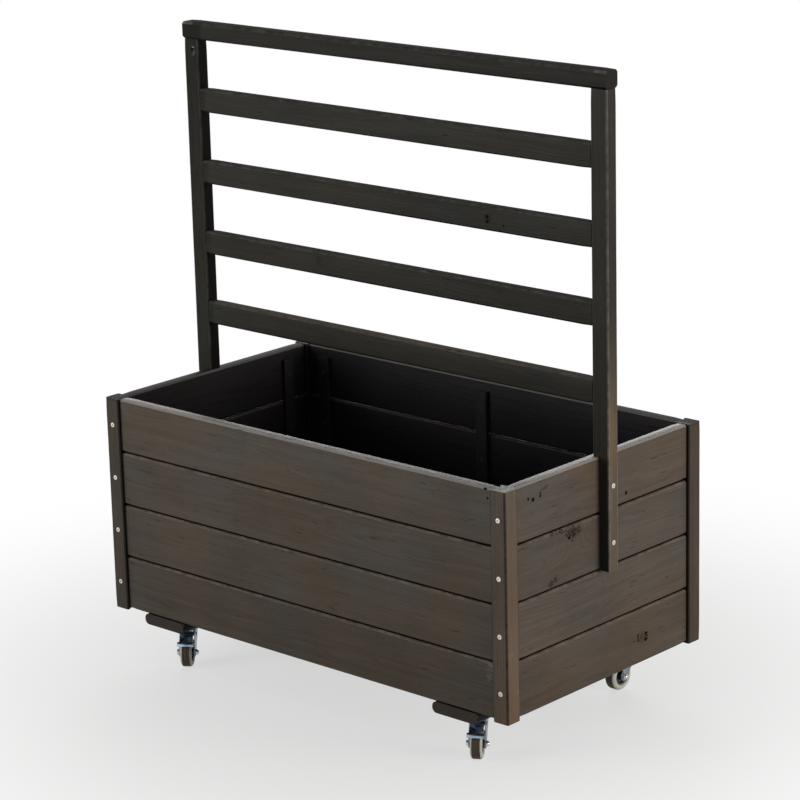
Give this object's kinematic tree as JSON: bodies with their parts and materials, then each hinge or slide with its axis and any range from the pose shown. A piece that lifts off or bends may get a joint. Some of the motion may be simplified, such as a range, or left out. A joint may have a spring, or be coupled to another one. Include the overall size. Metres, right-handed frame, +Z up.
{
  "type": "rolling planter",
  "caption": "Rectangular boarded wooden planter box on swivel castors, with a slatted trellis panel standing across its middle and toe brakes on the front wheels.",
  "frame": {"origin": "on the ground under the middle of the box", "axes": "+X along the box's long side to the right, +Y towards the back, +Z up; the braked castors and the box's front are at -Y"},
  "size_m": [0.93, 0.5, 1.091],
  "materials": {
    "stained_wood": "dark stained softwood, matt",
    "trellis_wood": "dark stained planed softwood, low sheen",
    "zinc_screw": "bright zinc plated",
    "zinc_sheet": "blue zinc plated pressed sheet",
    "zinc_bolt": "zinc plated",
    "bearing_steel": "greased steel",
    "black_hub": "moulded, matt",
    "grey_tyre": "moulded soft tread, worn"
  },
  "bodies": {
    "root": {"post_front_left": "stained_wood", "post_front_right": "stained_wood", "post_rear_left": "stained_wood", "post_rear_right": "stained_wood", "front_board_1": "stained_wood", "front_board_2": "stained_wood", "front_board_3": "stained_wood", "front_board_4": "stained_wood", "rear_board_1": "stained_wood", "rear_board_2": "stained_wood", "rear_board_3": "stained_wood", "rear_board_4": "stained_wood", "left_board_1": "stained_wood", "left_board_2": "stained_wood", "left_board_3": "stained_wood", "left_board_4": "stained_wood", "right_board_1": "stained_wood", "right_board_2": "stained_wood", "right_board_3": "stained_wood", "right_board_4": "stained_wood", "long_wall_battens": "stained_wood", "end_wall_battens": "stained_wood", "floor_board_1": "stained_wood", "floor_board_2": "stained_wood", "floor_board_3": "stained_wood", "floor_board_4": "stained_wood", "bearer_left": "stained_wood", "bearer_right": "stained_wood", "upright_left": "trellis_wood", "upright_right": "trellis_wood", "top_rail": "trellis_wood", "slat_1": "trellis_wood", "slat_2": "trellis_wood", "slat_3": "trellis_wood", "slat_4": "trellis_wood", "frame_screws": "zinc_screw", "trellis_screws": "zinc_screw", "inner_screws": "zinc_screw", "castor_screws": "zinc_screw", "castor_plates": "zinc_sheet", "kingpins": "bearing_steel", "castor_balls": "bearing_steel"},
    "swivel_front_left": {"fork_front_left": "zinc_sheet", "axle_front_left": "zinc_bolt"},
    "roll_front_left": {"wheel_front_left": "black_hub", "tyre_front_left": "grey_tyre"},
    "brake_front_left": {"brake_pedal_front_left": "zinc_sheet"},
    "swivel_front_right": {"fork_front_right": "zinc_sheet", "axle_front_right": "zinc_bolt"},
    "roll_front_right": {"wheel_front_right": "black_hub", "tyre_front_right": "grey_tyre"},
    "brake_front_right": {"brake_pedal_front_right": "zinc_sheet"},
    "swivel_rear_left": {"fork_rear_left": "zinc_sheet", "axle_rear_left": "zinc_bolt"},
    "roll_rear_left": {"wheel_rear_left": "black_hub", "tyre_rear_left": "grey_tyre"},
    "swivel_rear_right": {"fork_rear_right": "zinc_sheet", "axle_rear_right": "zinc_bolt"},
    "roll_rear_right": {"wheel_rear_right": "black_hub", "tyre_rear_right": "grey_tyre"}
  },
  "joints": [
    {"name": "swivel_front_left", "type": "hinge", "parent": "root", "child": "swivel_front_left", "pos_m": [-0.328, -0.192, 0.0615], "axis": [0, 0, 1], "continuous": true},
    {"name": "roll_front_left", "type": "hinge", "parent": "swivel_front_left", "child": "roll_front_left", "pos_m": [-0.31295, -0.21197, 0.025], "axis": [0.7986, 0.6018, 0], "continuous": true},
    {"name": "brake_front_left", "type": "hinge", "parent": "swivel_front_left", "child": "brake_front_left", "pos_m": [-0.32319, -0.19839, 0.0535], "axis": [-0.7986, -0.6018, 0], "range_deg": [0, 8]},
    {"name": "swivel_front_right", "type": "hinge", "parent": "root", "child": "swivel_front_right", "pos_m": [0.34, -0.192, 0.0615], "axis": [0, 0, 1], "continuous": true},
    {"name": "roll_front_right", "type": "hinge", "parent": "swivel_front_right", "child": "roll_front_right", "pos_m": [0.35362, -0.21297, 0.025], "axis": [0.8387, 0.5446, 0], "continuous": true},
    {"name": "brake_front_right", "type": "hinge", "parent": "swivel_front_right", "child": "brake_front_right", "pos_m": [0.34436, -0.19871, 0.0535], "axis": [-0.8387, -0.5446, 0], "range_deg": [0, 8]},
    {"name": "swivel_rear_left", "type": "hinge", "parent": "root", "child": "swivel_rear_left", "pos_m": [-0.328, 0.192, 0.0615], "axis": [0, 0, 1], "continuous": true},
    {"name": "roll_rear_left", "type": "hinge", "parent": "swivel_rear_left", "child": "roll_rear_left", "pos_m": [-0.33737, 0.16882, 0.025], "axis": [0.9272, -0.3746, 0], "continuous": true},
    {"name": "swivel_rear_right", "type": "hinge", "parent": "root", "child": "swivel_rear_right", "pos_m": [0.34, 0.192, 0.0615], "axis": [0, 0, 1], "continuous": true},
    {"name": "roll_rear_right", "type": "hinge", "parent": "swivel_rear_right", "child": "roll_rear_right", "pos_m": [0.34, 0.167, 0.025], "axis": [1, 0, 0], "continuous": true}
  ]
}
